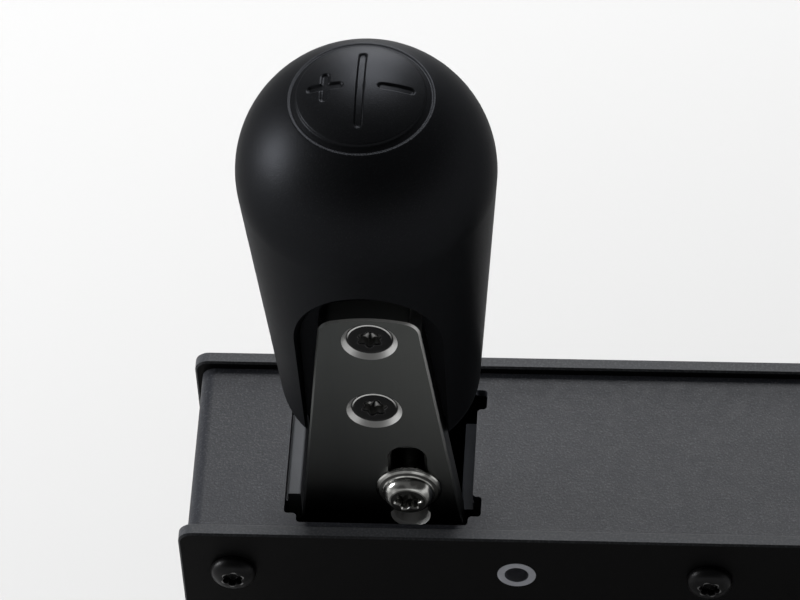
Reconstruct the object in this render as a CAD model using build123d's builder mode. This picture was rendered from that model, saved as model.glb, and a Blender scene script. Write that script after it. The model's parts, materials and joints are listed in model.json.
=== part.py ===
from build123d import *
from math import acos, atan2, degrees
import os

# Sim racing gear shifter: a slim steel case, a magnet-held rocking lever and a pear-shaped knob.
# Millimetres. Origin at the middle of the case's underside, +X to the front, +Y to the far side, +Z up.

# Case
case_length = 180.0
case_width = 48.0
case_height = 96.0
plate_thickness = 3.0
plate_corner = 3.0
plate_chamfer = 0.4
cover_drop = 2.0
end_inset = 1.5
sheet = 2.0
bend_radius = 3.0
foot_flange = 12.0
base_thickness = 8.0
base_chamfer = 0.5

# Window in the cover, and the pads that stop the lever
window_length = 35.7
window_width = 37.6
window_corner = 0.8
relief_span = 41.0
relief_width = 33.0
tab_width = 22.8
tab_depth = 12.0
front_edge = 18.6
rear_pad_face = 17.3
rear_pad_gap = 0.5
rear_pad_drop = 0.4
rear_pad_depth = 8.5
rear_pad_lip = 2.5
front_pad_face = 16.0
front_pad_drop = 4.8
front_pad_depth = 6.5
pad_width = 22.4
pad_round = 0.4

# Lever arm: a hub on the shaft, an upright post behind the blade and a limb that carries a magnet
lever_offset = 42.0
pivot_height = 28.0
pad_travel = 3.0
arm_thickness = 12.0
hub_radius = 17.0
hub_length = 22.8
hub_bore = 16.0
post_shoulder_drop = 20.0
tongue_thickness = 6.0
tongue_root_drop = 15.0
tongue_rise = 16.5
tongue_corner = 5.0
limb_height = 18.0
limb_fillet = 14.0
limb_slot_length = 22.0
limb_slot_height = 8.0
limb_slot_setback = 30.0
post_hole_size = 13.0
post_hole_rise = 29.0
head_length = 10.0
head_size = 22.0
head_chamfer = 1.5
sensor_boss_size = 10.0
sensor_setback = 47.0

# Blade that carries the knob and slides on the arm
blade_thickness = 5.0
blade_half_width = 16.5
blade_top_rise = 65.0
blade_top_half = 10.0
blade_top_sag = 1.8
blade_corner = 4.0
blade_flare_drop = 2.0
blade_flare = 0.2
blade_tail_drop = 45.0
blade_tail_corner = 8.0
blade_chamfer = 0.4
slot_width = 7.0
slot_length = 26.4
slot_chamfer = 0.6
slot_side = 6.0
slot_rise = 9.8
guide_slot_width = 6.7
guide_slot_length = 26.0
guide_slot_side = 6.0
guide_slot_drop = 24.0
guide_pin_size = 6.0
guide_pin_length = 12.0
guide_pin_proud = 4.0
upper_screw_rise = 57.8
lower_screw_rise = 35.4

# Knob
ball_radius = 25.7
ball_rise = 91.6
foot_radius = 20.5
foot_rise = 21.0
foot_round = 7.0
pocket_half = 14.4
pocket_arch_rise = 53.0
mouth_half = 15.6
mouth_arch_rise = 69.0
mouth_depth = 15.6
tongue_room = 6.0
insert_size = 7.0
insert_length = 10.0

# Shaft, bearings and sleeves
shaft_size = 10.0
sleeve_size = 14.0
bearing_size = 22.0
bearing_width = 6.0
bearing_recess = 0.2
outer_race_wall = 1.7
inner_race_wall = 1.6
shield_thickness = 0.8

# Magnets, and the carriage that sets the gap between them
magnet_size = 16.0
magnet_thickness = 6.0
sensor_magnet_size = 6.0
sensor_magnet_thickness = 3.0
magnet_air_gap = 5.0
carriage_setback = 17.5
carriage_length = 22.0
carriage_width = 24.0
carriage_height = 34.0
carriage_chamfer = 1.5
rail_length = 31.0
rail_width = 8.0
rail_height = 5.0
rail_lead = 4.2
rail_screw_margin = 5.0
adjuster_size = 8.0
adjuster_reach = 26.2
adjuster_bore_depth = 14.5
adjuster_head_size = 14.0
adjuster_head_height = 4.4
adjuster_head_chamfer = 0.6
adjuster_socket_size = 5.8
adjuster_socket_depth = 2.6
collar_size = 14.0
collar_length = 5.0

# Electronics
board_tail = 12.8
board_low = 13.0
board_height = 24.0
board_thickness = 1.6
board_margin = 4.0
standoff_size = 6.0
standoff_length = 4.4
hall_chip_size = 4.0
hall_chip_thickness = 1.2
controller_chip_length = 12.0
controller_chip_width = 10.0
controller_chip_thickness = 1.4
controller_chip_place = 50.0
connector_width = 9.0
connector_height = 3.3
connector_length = 7.5
connector_corner = 1.2
connector_wall = 0.4
connector_proud = 0.3
connector_tongue_width = 6.6
connector_tongue_thickness = 0.7
connector_tongue_inset = 1.0

# Fasteners: threads, lengths under the head, and head sizes as shares of the thread
case_thread = 5.0
small_thread = 4.0
board_thread = 3.0
clamp_thread = 6.0
case_screw_length = 12.0
base_screw_length = 11.0
cover_screw_length = 8.0
rail_screw_length = 11.0
board_screw_length = 5.0
clamp_screw_length = 10.8
knob_screw_length = 13.0
button_head_share = 1.9
button_height_share = 0.55
button_flat_share = 1.1
button_edge_share = 0.3
socket_share = 0.7
star_share = 0.92
star_depth_share = 0.32
star_core_share = 0.36
star_lobe_share = 0.12
clamp_flange_size = 13.6
clamp_flange_thickness = 1.2
clamp_dome_size = 10.4
clamp_dome_height = 2.6
clamp_flat_size = 6.6
countersink_size = 11.3
countersunk_head_size = 9.8
rail_countersink_size = 7.6
rail_head_size = 7.2
spacer_size = 10.0
nut_shank_size = 8.0
nut_body_size = 11.0
nut_height = 4.0
nut_bore_size = 5.0

# Holes for fastening the case to a rig
base_bolt_inset = 30.0
base_bolt_hole_size = 6.8
side_bolt_length = 80.0
side_bolt_height = 40.0
side_bolt_inset = 30.0
side_bolt_z = 64.0

# Places of the case's own fasteners
spacer_inset = 11.0
spacer_drop = 12.0
middle_spacer_x = 20.0
base_screw_inset = 20.0
cover_screw_inset = 7.8
cover_screw_side = 12.0

# Clearances
screw_clearance = 0.25
fit_gap = 0.05
face_gap = 0.1
slide_gap = 0.3
overrun = 1.0

# Values that follow from the sizes above
inner_half = case_width / 2 - plate_thickness
outer_half = case_width / 2
cover_top = case_height - cover_drop
cover_under = cover_top - sheet
end_face = case_length / 2 - end_inset
end_inner = end_face - sheet
lever_x = lever_offset - case_length / 2
hub_half = hub_length / 2
blade_back = -hub_half
blade_front = blade_back - blade_thickness
arm_far = blade_back + arm_thickness
tongue_far = blade_back + tongue_thickness
arm_rear = rear_pad_face - pad_travel
arm_front = front_pad_face - pad_travel
rear_edge = relief_span / 2
bearing_face = hub_half - bearing_recess
carriage_front = end_face - carriage_setback
carriage_rear = carriage_front - carriage_length
limb_end = carriage_rear - magnet_air_gap
sensor_x = limb_end - sensor_setback
rail_rear = carriage_rear - rail_lead
cover_screw_x = end_face - cover_screw_inset
side_bolt_x = case_length / 2 - side_bolt_inset - side_bolt_length / 2
board_front = end_inner - slide_gap
board_rear = sensor_x - board_tail
board_near = inner_half - standoff_length - board_thickness
board_middle = board_low + board_height / 2
spacer_places = [
    (spacer_inset - case_length / 2, case_height - spacer_drop),
    (middle_spacer_x, case_height - spacer_drop),
    (case_length / 2 - spacer_inset, case_height - spacer_drop),
]
shaft_place = [(lever_x, pivot_height)]
base_screw_x = case_length / 2 - base_screw_inset
base_screw_places = [(x, base_thickness / 2) for x in (-base_screw_x, 0, base_screw_x)]
rail_screw_places = [
    (rail_rear + rail_screw_margin, 0),
    (rail_rear + rail_length - rail_screw_margin, 0),
]
board_screw_places = [
    (x, z)
    for x in (board_rear + board_margin, board_front - connector_length - board_margin)
    for z in (board_low + board_margin, board_low + board_height - board_margin)
]


def upright(depth):
    """Plane at a depth, facing the near side; its axes are the case's length and height."""
    return Plane.XZ.offset(-depth)


def lever_plane(depth):
    """Upright plane whose origin is on the lever's centre line, level with the cover's top."""
    return Plane((lever_x, depth, cover_top), x_dir=(1, 0, 0), z_dir=(0, -1, 0))


def outward_planes(places, depth):
    """Planes on both sides of the case that look outwards at the given places."""
    near = [Plane((x, -depth, z), x_dir=(1, 0, 0), z_dir=(0, -1, 0)) for x, z in places]
    far = [Plane((x, depth, z), x_dir=(1, 0, 0), z_dir=(0, 1, 0)) for x, z in places]
    return near + far


def star_recess(size):
    """Six-lobed driver recess."""
    with BuildSketch() as star:
        Circle(size * star_core_share)
        with PolarLocations(size / 2 - size * star_lobe_share, 6):
            Circle(size * star_lobe_share)
    return star.sketch


def button_screw(thread, length):
    """Low-headed socket screw that stands on its seat, with the shank below it."""
    head = thread * button_head_share / 2
    rise = thread * button_height_share
    with BuildPart() as screw:
        with BuildSketch(Plane.XZ):
            with BuildLine():
                Polyline(
                    (0, -length),
                    (thread / 2, -length),
                    (thread / 2, 0),
                    (head, 0),
                    (head, rise * button_edge_share),
                    (thread * button_flat_share / 2, rise),
                    (0, rise),
                    close=True,
                )
            make_face()
        revolve(axis=Axis.Z)
        with BuildSketch(Plane.XY.offset(rise)):
            RegularPolygon(thread * socket_share / 2, 6)
        extrude(amount=-thread * star_depth_share, mode=Mode.SUBTRACT)
    return screw.part


def countersunk_screw(thread, head, length):
    """Countersunk screw whose head is flush with the plane that it stands on."""
    star = star_recess(thread * star_share)
    with BuildPart() as screw:
        with BuildSketch(Plane.XZ):
            with BuildLine():
                Polyline(
                    (0, -length),
                    (thread / 2, -length),
                    (thread / 2, (thread - head) / 2),
                    (head / 2, 0),
                    (0, 0),
                    close=True,
                )
            make_face()
        revolve(axis=Axis.Z)
        with BuildSketch():
            add(star)
        extrude(amount=-thread * star_depth_share, mode=Mode.SUBTRACT)
    return screw.part


os.makedirs("parts", exist_ok=True)

# Side plates: they stand proud of the folded cover on every visible edge
with BuildPart() as side_plate_near:
    with BuildSketch(upright(-inner_half)):
        with Locations((0, case_height / 2)):
            RectangleRounded(case_length, case_height, plate_corner)
        with Locations(*spacer_places, *shaft_place):
            Circle(case_thread / 2 + screw_clearance, mode=Mode.SUBTRACT)
        with Locations(*base_screw_places):
            Circle(small_thread / 2 + screw_clearance, mode=Mode.SUBTRACT)
        with Locations((side_bolt_x, side_bolt_z)):
            with GridLocations(side_bolt_length, side_bolt_height, 2, 2):
                Circle(nut_shank_size / 2 + fit_gap, mode=Mode.SUBTRACT)
    extrude(amount=plate_thickness)
    chamfer(side_plate_near.faces().sort_by(Axis.Y)[0].outer_wire().edges(), plate_chamfer)
    chamfer(side_plate_near.faces().sort_by(Axis.Y)[-1].outer_wire().edges(), plate_chamfer)
side_plate_near.part.label = "side_plate_near"
export_step(side_plate_near.part, "parts/side_plate_near.step")

with BuildPart() as side_plate_far:
    mirror(side_plate_near.part, about=Plane.XZ)
side_plate_far.part.label = "side_plate_far"
export_step(side_plate_far.part, "parts/side_plate_far.step")

# Cover: one folded sheet for the top and both ends, with a window for the lever
with BuildPart() as top_cover:
    with BuildSketch(Plane.XZ):
        with BuildLine():
            foot_x = end_face - foot_flange
            foot_z = base_thickness + sheet / 2
            end_x = end_face - sheet / 2
            top_z = cover_top - sheet / 2
            FilletPolyline(
                (-foot_x, foot_z),
                (-end_x, foot_z),
                (-end_x, top_z),
                (end_x, top_z),
                (end_x, foot_z),
                (foot_x, foot_z),
                radius=bend_radius - sheet / 2,
            )
        trace(line_width=sheet)
    extrude(amount=inner_half, both=True)
    with BuildSketch(Plane.XY.offset(cover_under - overrun)):
        with Locations((lever_x, 0)):
            Rectangle(window_length, window_width)
            Rectangle(relief_span, relief_width)
        with Locations((lever_x + front_edge, 0)):
            Rectangle(relief_span, tab_width, align=(Align.MIN, Align.CENTER), mode=Mode.SUBTRACT)
        fillet(vertices(), window_corner)
    extrude(amount=sheet + 2 * overrun, mode=Mode.SUBTRACT)
    with BuildSketch(Plane.XZ):
        with Locations((lever_x - rear_edge, cover_under)):
            Rectangle(sheet, tab_depth, align=(Align.MAX, Align.MAX))
        with Locations((lever_x + front_edge, cover_under)):
            Rectangle(sheet, tab_depth, align=(Align.MIN, Align.MAX))
    extrude(amount=tab_width / 2, both=True)
    with BuildSketch(Plane.XY.offset(base_thickness - overrun)):
        with GridLocations(2 * cover_screw_x, 2 * cover_screw_side, 2, 2):
            Circle(small_thread / 2 + screw_clearance)
    extrude(amount=sheet + 2 * overrun, mode=Mode.SUBTRACT)
    with BuildSketch(Plane.YZ.offset(end_inner - overrun)):
        with Locations((0, pivot_height)):
            Circle(adjuster_size / 2 + fit_gap)
        with Locations((board_near - connector_height / 2, board_middle)):
            RectangleRounded(
                connector_height + 2 * slide_gap,
                connector_width + 2 * slide_gap,
                connector_corner + slide_gap,
            )
    extrude(amount=sheet + 2 * overrun, mode=Mode.SUBTRACT)
top_cover.part.label = "top_cover"
export_step(top_cover.part, "parts/top_cover.step")

# Base: a solid bar with tapped holes for the rig, the cover, the rail and both side plates
with BuildPart() as base_plate:
    with BuildSketch():
        Rectangle(2 * end_face, 2 * inner_half)
        with GridLocations(case_length - 2 * base_bolt_inset, 0, 2, 1):
            Circle(base_bolt_hole_size / 2, mode=Mode.SUBTRACT)
        with GridLocations(2 * cover_screw_x, 2 * cover_screw_side, 2, 2):
            Circle(small_thread / 2 + fit_gap, mode=Mode.SUBTRACT)
        with Locations(*rail_screw_places):
            Circle(small_thread / 2 + fit_gap, mode=Mode.SUBTRACT)
    extrude(amount=base_thickness)
    with Locations(*outward_planes(base_screw_places, inner_half)):
        Hole(small_thread / 2 + fit_gap, depth=base_screw_length)
    chamfer(base_plate.edges().filter_by(Axis.Y), base_chamfer)
base_plate.part.label = "base_plate"
export_step(base_plate.part, "parts/base_plate.step")

# Spacers between the side plates
with BuildPart() as cross_spacers:
    with BuildSketch(upright(inner_half)):
        with Locations(*spacer_places):
            Circle(spacer_size / 2)
            Circle(case_thread / 2 + fit_gap, mode=Mode.SUBTRACT)
    extrude(amount=2 * inner_half)
cross_spacers.part.label = "cross_spacers"
export_step(cross_spacers.part, "parts/cross_spacers.step")

case_screw = button_screw(case_thread, case_screw_length)
with BuildPart() as spacer_screws:
    with Locations(*outward_planes(spacer_places, outer_half)):
        add(case_screw)
spacer_screws.part.label = "spacer_screws"
export_step(spacer_screws.part, "parts/spacer_screws.step")

with BuildPart() as shaft_screws:
    with Locations(*outward_planes(shaft_place, outer_half)):
        add(case_screw)
shaft_screws.part.label = "shaft_screws"
export_step(shaft_screws.part, "parts/shaft_screws.step")

base_screw = button_screw(small_thread, base_screw_length)
with BuildPart() as base_screws:
    with Locations(*outward_planes(base_screw_places, outer_half)):
        add(base_screw)
base_screws.part.label = "base_screws"
export_step(base_screws.part, "parts/base_screws.step")

cover_screw = button_screw(small_thread, cover_screw_length)
with BuildPart() as cover_screws:
    with Locations((0, 0, base_thickness + sheet)):
        with GridLocations(2 * cover_screw_x, 2 * cover_screw_side, 2, 2):
            add(cover_screw)
cover_screws.part.label = "cover_screws"
export_step(cover_screws.part, "parts/cover_screws.step")

# Nuts pressed into both side plates, for bolts that come in from a rig
with BuildPart() as press_nut:
    with BuildSketch():
        Circle(nut_shank_size / 2)
    extrude(amount=plate_thickness)
    with BuildSketch():
        Circle(nut_body_size / 2)
    extrude(amount=-nut_height)
    Hole(nut_bore_size / 2)
side_bolt_places = [
    (side_bolt_x + along * side_bolt_length / 2, side_bolt_z + up * side_bolt_height / 2)
    for along in (-1, 1)
    for up in (-1, 1)
]
with BuildPart() as press_nuts:
    with Locations(*outward_planes(side_bolt_places, inner_half)):
        add(press_nut.part)
press_nuts.part.label = "press_nuts"
export_step(press_nuts.part, "parts/press_nuts.step")

# Pivot: a fixed shaft, two sealed bearings in the arm's hub and a sleeve on each side
with BuildPart() as pivot_shaft:
    with BuildSketch(upright(inner_half)):
        with Locations(*shaft_place):
            Circle(shaft_size / 2)
            Circle(case_thread / 2 + fit_gap, mode=Mode.SUBTRACT)
    extrude(amount=2 * inner_half)
pivot_shaft.part.label = "pivot_shaft"
export_step(pivot_shaft.part, "parts/pivot_shaft.step")

with BuildPart() as shaft_sleeve_near:
    with BuildSketch(upright(-bearing_face - face_gap)):
        with Locations(*shaft_place):
            Circle(sleeve_size / 2)
            Circle(shaft_size / 2 + fit_gap, mode=Mode.SUBTRACT)
    extrude(amount=inner_half - bearing_face - face_gap)
shaft_sleeve_near.part.label = "shaft_sleeve_near"
export_step(shaft_sleeve_near.part, "parts/shaft_sleeve_near.step")

with BuildPart() as shaft_sleeve_far:
    mirror(shaft_sleeve_near.part, about=Plane.XZ)
shaft_sleeve_far.part.label = "shaft_sleeve_far"
export_step(shaft_sleeve_far.part, "parts/shaft_sleeve_far.step")

with BuildPart() as bearing_near:
    with BuildSketch(upright(bearing_width - bearing_face)):
        with Locations(*shaft_place):
            Circle(bearing_size / 2)
            Circle(bearing_size / 2 - outer_race_wall, mode=Mode.SUBTRACT)
            Circle(shaft_size / 2 + fit_gap + inner_race_wall)
            Circle(shaft_size / 2 + fit_gap, mode=Mode.SUBTRACT)
    extrude(amount=bearing_width)
    with BuildSketch(upright(bearing_width - bearing_face), upright(shield_thickness - bearing_face)):
        with Locations(*shaft_place):
            Circle(bearing_size / 2 - outer_race_wall / 2)
            Circle(shaft_size / 2 + fit_gap + inner_race_wall + slide_gap, mode=Mode.SUBTRACT)
    extrude(amount=shield_thickness)
bearing_near.part.label = "bearing_near"
export_step(bearing_near.part, "parts/bearing_near.step")

with BuildPart() as bearing_far:
    mirror(bearing_near.part, about=Plane.XZ)
bearing_far.part.label = "bearing_far"
export_step(bearing_far.part, "parts/bearing_far.step")

# Lever arm: post, hub and limb cut from one plate, with a head for the magnet
with BuildPart() as lever_arm:
    post_shoulder = cover_top - post_shoulder_drop
    tongue_top = cover_top + tongue_rise
    with BuildSketch(upright(arm_far)) as arm_outline:
        with BuildLine():
            Polyline(
                (lever_x - hub_radius, pivot_height),
                (lever_x - arm_rear, post_shoulder),
                (lever_x - arm_rear, tongue_top),
                (lever_x + arm_front, tongue_top),
                (lever_x + arm_front, post_shoulder),
                (lever_x + hub_radius, pivot_height),
                close=True,
            )
        make_face()
        fillet(arm_outline.vertices().group_by(Axis.Y)[-1], tongue_corner)
        with Locations(*shaft_place):
            Circle(hub_radius)
        with Locations((lever_x, pivot_height)):
            Rectangle(limb_end - lever_x, limb_height, align=(Align.MIN, Align.CENTER))
        crotch = (lever_x + hub_radius, pivot_height + limb_height / 2)
        fillet(arm_outline.vertices().sort_by_distance(crotch)[0], limb_fillet)
        with Locations((lever_x, pivot_height + post_hole_rise)):
            Circle(post_hole_size / 2, mode=Mode.SUBTRACT)
        with Locations((limb_end - limb_slot_setback, pivot_height)):
            SlotOverall(limb_slot_length, limb_slot_height, mode=Mode.SUBTRACT)
    extrude(amount=arm_thickness)
    with BuildSketch(upright(arm_far)):
        with Locations((lever_x, cover_top - tongue_root_drop)):
            Rectangle(
                2 * hub_radius,
                tongue_root_drop + tongue_rise + overrun,
                align=(Align.CENTER, Align.MIN),
            )
    extrude(amount=arm_thickness - tongue_thickness, mode=Mode.SUBTRACT)
    with BuildSketch(upright(hub_half)):
        with Locations(*shaft_place):
            Circle(hub_radius)
        with Locations((sensor_x, pivot_height)):
            Circle(sensor_boss_size / 2)
    extrude(amount=hub_half - arm_far)
    with BuildSketch(Plane.YZ.offset(limb_end - head_length)):
        with Locations((0, pivot_height)):
            RectangleRounded(head_size, head_size, head_chamfer)
    extrude(amount=head_length)
    with Locations(*outward_planes(shaft_place, hub_half)):
        CounterBoreHole(hub_bore / 2, bearing_size / 2 + fit_gap, bearing_width + bearing_recess)
    with Locations(Plane((limb_end, 0, pivot_height), z_dir=(1, 0, 0))):
        Hole(magnet_size / 2 + fit_gap, depth=magnet_thickness)
    with Locations(Plane((sensor_x, hub_half, pivot_height), z_dir=(0, 1, 0))):
        Hole(sensor_magnet_size / 2 + fit_gap, depth=sensor_magnet_thickness)
    with Locations(lever_plane(blade_back)):
        with Locations((slot_side, slot_rise)):
            Hole(clamp_thread / 2 + fit_gap, depth=tongue_thickness + overrun)
        with Locations((-guide_slot_side, -guide_slot_drop)):
            Hole(guide_pin_size / 2 + fit_gap, depth=guide_pin_length - guide_pin_proud)
lever_arm.part.label = "lever_arm"
export_step(lever_arm.part, "parts/lever_arm.step")

with BuildPart() as arm_magnet:
    with BuildSketch(Plane.YZ.offset(limb_end - magnet_thickness)):
        with Locations((0, pivot_height)):
            Circle(magnet_size / 2)
    extrude(amount=magnet_thickness)
arm_magnet.part.label = "arm_magnet"
export_step(arm_magnet.part, "parts/arm_magnet.step")

with BuildPart() as sensor_magnet:
    with BuildSketch(upright(hub_half)):
        with Locations((sensor_x, pivot_height)):
            Circle(sensor_magnet_size / 2)
    extrude(amount=sensor_magnet_thickness)
sensor_magnet.part.label = "sensor_magnet"
export_step(sensor_magnet.part, "parts/sensor_magnet.step")

# Clamp screw and guide pin: the blade slides past both when the screw is loose
clamp_star = star_recess(clamp_thread * star_share)
clamp_top = clamp_flange_thickness + clamp_dome_height
with BuildPart() as flanged_screw:
    with BuildSketch(Plane.XZ):
        with BuildLine():
            Polyline(
                (clamp_flat_size / 2, clamp_top),
                (0, clamp_top),
                (0, -clamp_screw_length),
                (clamp_thread / 2, -clamp_screw_length),
                (clamp_thread / 2, 0),
                (clamp_flange_size / 2, 0),
                (clamp_flange_size / 2, clamp_flange_thickness / 2),
                (clamp_dome_size / 2, clamp_flange_thickness),
            )
            RadiusArc(
                (clamp_dome_size / 2, clamp_flange_thickness),
                (clamp_flat_size / 2, clamp_top),
                -clamp_dome_size / 2,
            )
        make_face()
    revolve(axis=Axis.Z)
    with BuildSketch(Plane.XY.offset(clamp_top)):
        add(clamp_star)
    extrude(amount=-clamp_thread * star_depth_share, mode=Mode.SUBTRACT)
with BuildPart() as clamp_screw:
    with Locations(lever_plane(blade_front)):
        with Locations((slot_side, slot_rise)):
            add(flanged_screw.part)
clamp_screw.part.label = "clamp_screw"
export_step(clamp_screw.part, "parts/clamp_screw.step")

with BuildPart() as guide_pin:
    with BuildSketch(lever_plane(blade_back + guide_pin_length - guide_pin_proud)):
        with Locations((-guide_slot_side, -guide_slot_drop)):
            Circle(guide_pin_size / 2)
    extrude(amount=guide_pin_length)
guide_pin.part.label = "guide_pin"
export_step(guide_pin.part, "parts/guide_pin.step")

# Blade: a tapered plate with a clamp slot, a guide slot and two countersunk holes for the knob
with BuildPart() as lever_blade:
    flare_half = blade_half_width + blade_flare
    shoulder_rise = blade_top_rise - blade_top_sag
    with BuildSketch(lever_plane(blade_back)) as blade_outline:
        with BuildLine():
            Polyline(
                (blade_top_half, shoulder_rise),
                (blade_half_width, 0),
                (flare_half, -blade_flare_drop),
                (flare_half, -blade_tail_drop),
                (-flare_half, -blade_tail_drop),
                (-flare_half, -blade_flare_drop),
                (-blade_half_width, 0),
                (-blade_top_half, shoulder_rise),
            )
            ThreePointArc(
                (-blade_top_half, shoulder_rise),
                (0, blade_top_rise),
                (blade_top_half, shoulder_rise),
            )
        make_face()
        fillet(blade_outline.vertices().group_by(Axis.Y)[-1], blade_corner)
        fillet(blade_outline.vertices().group_by(Axis.Y)[0], blade_tail_corner)
        with Locations((slot_side, slot_rise)):
            SlotOverall(slot_length, slot_width, rotation=90, mode=Mode.SUBTRACT)
        with Locations((-guide_slot_side, -guide_slot_drop)):
            SlotOverall(guide_slot_length, guide_slot_width, rotation=90, mode=Mode.SUBTRACT)
    extrude(amount=blade_thickness)
    outer_edges = lever_blade.faces().sort_by(Axis.Y)[0].outer_wire().edges()
    chamfer(outer_edges, blade_chamfer)
    slot_edges = lever_blade.faces().sort_by(Axis.Y)[0].inner_wires().sort_by(Axis.Z)[-1].edges()
    chamfer(slot_edges, slot_chamfer)
    with Locations(lever_plane(blade_front)):
        with Locations((0, upper_screw_rise), (0, lower_screw_rise)):
            CounterSinkHole(
                case_thread / 2 + screw_clearance,
                countersink_size / 2,
                counter_sink_angle=90,
            )
lever_blade.part.label = "lever_blade"
export_step(lever_blade.part, "parts/lever_blade.step")


def arch(half_width, rise):
    """Round-topped pocket outline that runs down to the level of the cover."""
    with BuildSketch() as outline:
        with BuildLine():
            Polyline((half_width, rise), (half_width, 0), (-half_width, 0), (-half_width, rise))
            ThreePointArc((-half_width, rise), (0, rise + half_width), (half_width, rise))
        make_face()
    return outline.sketch


# Knob: a ball that runs down a tangent cone to a rounded foot, with an arched pocket that the blade lies in
floor_arch = arch(pocket_half, pocket_arch_rise)
mouth_arch = arch(mouth_half, mouth_arch_rise)
with BuildPart() as knob:
    with BuildSketch(lever_plane(0)):
        foot_side = foot_radius - foot_round
        drop = ball_rise - foot_rise - foot_round
        slant = Vector(foot_side, drop).length
        cone_lean = degrees(atan2(drop, foot_side) - acos((ball_radius - foot_round) / slant))
        with BuildLine():
            crown = JernArc((0, ball_rise + ball_radius), (1, 0), ball_radius, -90 - cone_lean)
            heel = JernArc((foot_side, foot_rise), (1, 0), foot_round, 90 - cone_lean)
            Line(crown @ 1, heel @ 1)
            Polyline(heel @ 0, (0, foot_rise), crown @ 0)
        make_face()
    revolve(axis=Axis((lever_x, 0, 0), (0, 0, 1)))
    with BuildSketch(lever_plane(blade_back)):
        add(floor_arch)
    with BuildSketch(lever_plane(blade_back - mouth_depth)):
        add(mouth_arch)
    loft(mode=Mode.SUBTRACT)
    with BuildSketch(lever_plane(tongue_far + 2 * slide_gap)):
        with Locations(((arm_front - arm_rear) / 2, 0)):
            Rectangle(
                arm_front + arm_rear + 2 * overrun,
                foot_rise + tongue_room,
                align=(Align.CENTER, Align.MIN),
            )
    extrude(amount=tongue_far + 2 * slide_gap - blade_back, mode=Mode.SUBTRACT)
    with Locations(lever_plane(blade_back)):
        with Locations((0, upper_screw_rise), (0, lower_screw_rise)):
            Hole(insert_size / 2 + fit_gap, depth=insert_length + slide_gap)
knob.part.label = "knob"
export_step(knob.part, "parts/knob.step")

with BuildPart() as knob_inserts:
    with BuildSketch(lever_plane(blade_back + insert_length)):
        with Locations((0, upper_screw_rise), (0, lower_screw_rise)):
            Circle(insert_size / 2)
            Circle(case_thread / 2 + fit_gap, mode=Mode.SUBTRACT)
    extrude(amount=insert_length)
knob_inserts.part.label = "knob_inserts"
export_step(knob_inserts.part, "parts/knob_inserts.step")

knob_screw = countersunk_screw(case_thread, countersunk_head_size, knob_screw_length)
with BuildPart() as knob_screws:
    with Locations(lever_plane(blade_front + (countersink_size - countersunk_head_size) / 2 - fit_gap)):
        with Locations((0, upper_screw_rise), (0, lower_screw_rise)):
            add(knob_screw)
knob_screws.part.label = "knob_screws"
export_step(knob_screws.part, "parts/knob_screws.step")

# Magnet carriage: a block on a rail, driven by the adjuster screw in the end of the case
with BuildPart() as magnet_rail:
    with BuildSketch(Plane.XY.offset(base_thickness)):
        with Locations((rail_rear, 0)):
            Rectangle(rail_length, rail_width, align=(Align.MIN, Align.CENTER))
    extrude(amount=rail_height)
    with Locations(Plane.XY.offset(base_thickness + rail_height)):
        with Locations(*rail_screw_places):
            CounterSinkHole(
                small_thread / 2 + screw_clearance,
                rail_countersink_size / 2,
                counter_sink_angle=90,
            )
magnet_rail.part.label = "magnet_rail"
export_step(magnet_rail.part, "parts/magnet_rail.step")

rail_screw = countersunk_screw(small_thread, rail_head_size, rail_screw_length)
with BuildPart() as rail_screws:
    rail_head_drop = (rail_countersink_size - rail_head_size) / 2 - fit_gap
    with Locations(Plane.XY.offset(base_thickness + rail_height - rail_head_drop)):
        with Locations(*rail_screw_places):
            add(rail_screw)
rail_screws.part.label = "rail_screws"
export_step(rail_screws.part, "parts/rail_screws.step")

with BuildPart() as magnet_block:
    with BuildSketch(Plane.YZ.offset(carriage_rear)):
        with Locations((0, base_thickness + face_gap)):
            Rectangle(carriage_width, carriage_height, align=(Align.CENTER, Align.MIN))
            Rectangle(
                rail_width + 2 * slide_gap,
                rail_height + slide_gap,
                align=(Align.CENTER, Align.MIN),
                mode=Mode.SUBTRACT,
            )
    extrude(amount=carriage_length)
    chamfer(magnet_block.edges().filter_by(Axis.X).group_by(Axis.Z)[-1], carriage_chamfer)
    with Locations(Plane((carriage_rear, 0, pivot_height), z_dir=(-1, 0, 0))):
        Hole(magnet_size / 2 + fit_gap, depth=magnet_thickness)
    with Locations(Plane((carriage_front, 0, pivot_height), z_dir=(1, 0, 0))):
        Hole(adjuster_size / 2 + fit_gap, depth=adjuster_bore_depth)
magnet_block.part.label = "magnet_block"
export_step(magnet_block.part, "parts/magnet_block.step")

with BuildPart() as fixed_magnet:
    with BuildSketch(Plane.YZ.offset(carriage_rear)):
        with Locations((0, pivot_height)):
            Circle(magnet_size / 2)
    extrude(amount=magnet_thickness)
fixed_magnet.part.label = "fixed_magnet"
export_step(fixed_magnet.part, "parts/fixed_magnet.step")

with BuildPart() as adjuster_screw:
    with BuildSketch(Plane.YZ.offset(end_face - adjuster_reach)):
        with Locations((0, pivot_height)):
            Circle(adjuster_size / 2)
    extrude(amount=adjuster_reach + face_gap)
    with BuildSketch(Plane.YZ.offset(end_face + face_gap)):
        with Locations((0, pivot_height)):
            Circle(adjuster_head_size / 2)
    extrude(amount=adjuster_head_height)
    chamfer(adjuster_screw.faces().sort_by(Axis.X)[-1].outer_wire().edges(), adjuster_head_chamfer)
    with BuildSketch(Plane.YZ.offset(end_face + face_gap + adjuster_head_height)):
        with Locations((0, pivot_height)):
            RegularPolygon(adjuster_socket_size / 2, 6)
    extrude(amount=-adjuster_socket_depth, mode=Mode.SUBTRACT)
adjuster_screw.part.label = "adjuster_screw"
export_step(adjuster_screw.part, "parts/adjuster_screw.step")

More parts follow.
